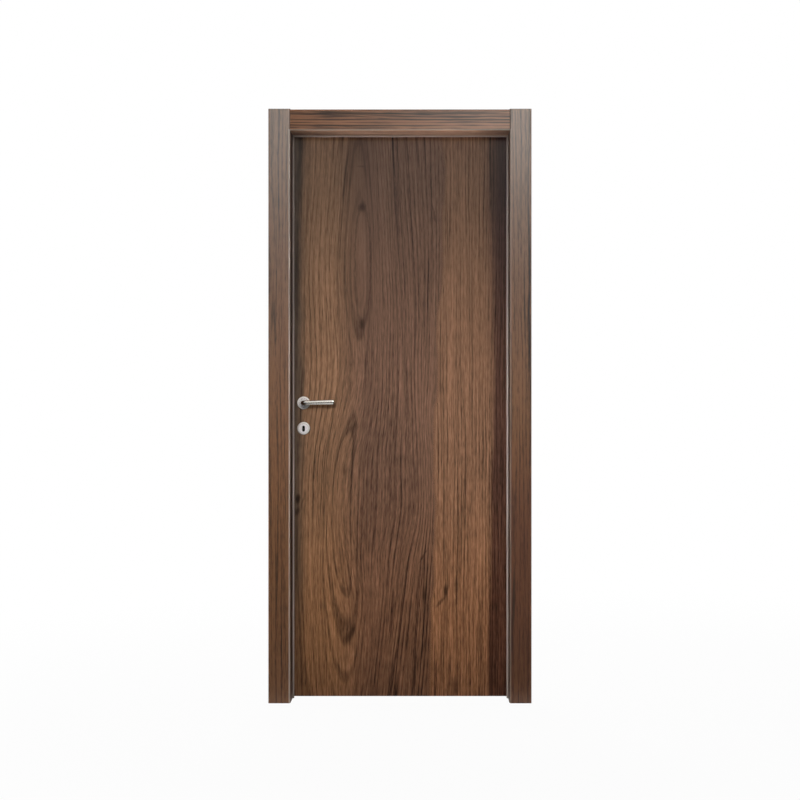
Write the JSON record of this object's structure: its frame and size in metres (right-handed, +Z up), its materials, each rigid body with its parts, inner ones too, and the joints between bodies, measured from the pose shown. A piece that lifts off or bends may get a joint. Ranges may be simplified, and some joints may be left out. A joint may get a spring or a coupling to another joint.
{
  "type": "interior hinged door set",
  "caption": "Flush walnut interior door with a lipped leaf in a rebated, cased frame, with a lever handle on a round rose, a keyhole rose, a seal and barrel hinges.",
  "frame": {"origin": "on the wall side of the hinge jamb, at floor level, midway through the wall", "axes": "+Z up, -Y to the push side that the picture shows, +X from the doorway into the wall at the hinges"},
  "size_m": [0.966, 0.197, 2.181],
  "materials": {
    "walnut_leaf": "walnut veneer, satin, upright flat-sawn figure",
    "walnut_frame": "walnut film wrapped on board, satin sheen, grain along each piece",
    "softwood_edge": "bare stained softwood",
    "seal": "soft grey-beige seal",
    "satin_metal": "satin nickel",
    "lock_steel": "nickel-plated sheet steel"
  },
  "bodies": {
    "frame": {"hinge_jamb": "walnut_frame", "lock_jamb": "walnut_frame", "head_jamb": "walnut_frame", "front_casing_left": "walnut_frame", "front_casing_right": "walnut_frame", "front_casing_head": "walnut_frame", "back_casing_left": "walnut_frame", "back_casing_right": "walnut_frame", "back_casing_head": "walnut_frame", "seal_left": "seal", "seal_right": "seal", "seal_head": "seal", "strike_plate": "lock_steel", "frame_hinge_top": "satin_metal", "frame_hinge_middle": "satin_metal", "frame_hinge_bottom": "satin_metal"},
    "leaf": {"leaf_front_skin": "walnut_leaf", "leaf_back_skin": "walnut_leaf", "leaf_lock_stile": "walnut_leaf", "leaf_hinge_stile": "walnut_leaf", "leaf_top_rail": "walnut_leaf", "leaf_bottom_rail": "softwood_edge", "lock_case": "lock_steel", "lock_faceplate": "lock_steel", "latch_bolt": "lock_steel", "dead_bolt": "lock_steel", "front_rose": "satin_metal", "front_key_rose": "satin_metal", "back_rose": "satin_metal", "back_key_rose": "satin_metal", "leaf_hinge_top": "satin_metal", "leaf_hinge_middle": "satin_metal", "leaf_hinge_bottom": "satin_metal"},
    "lever": {"front_lever": "satin_metal", "back_lever": "satin_metal", "spindle": "lock_steel"}
  },
  "joints": [
    {"name": "leaf_swing", "type": "hinge", "parent": "frame", "child": "leaf", "pos_m": [-0.017, 0.06575, 1.0635], "axis": [0, 0, -1], "range_deg": [0, 120]},
    {"name": "lever_turn", "type": "hinge", "parent": "leaf", "child": "lever", "pos_m": [-0.808, 0.052, 1.102], "axis": [0, 1, 0], "range_deg": [0, 40], "stiffness_Nm_per_rad": 1.5, "springref_deg": -22.92}
  ]
}
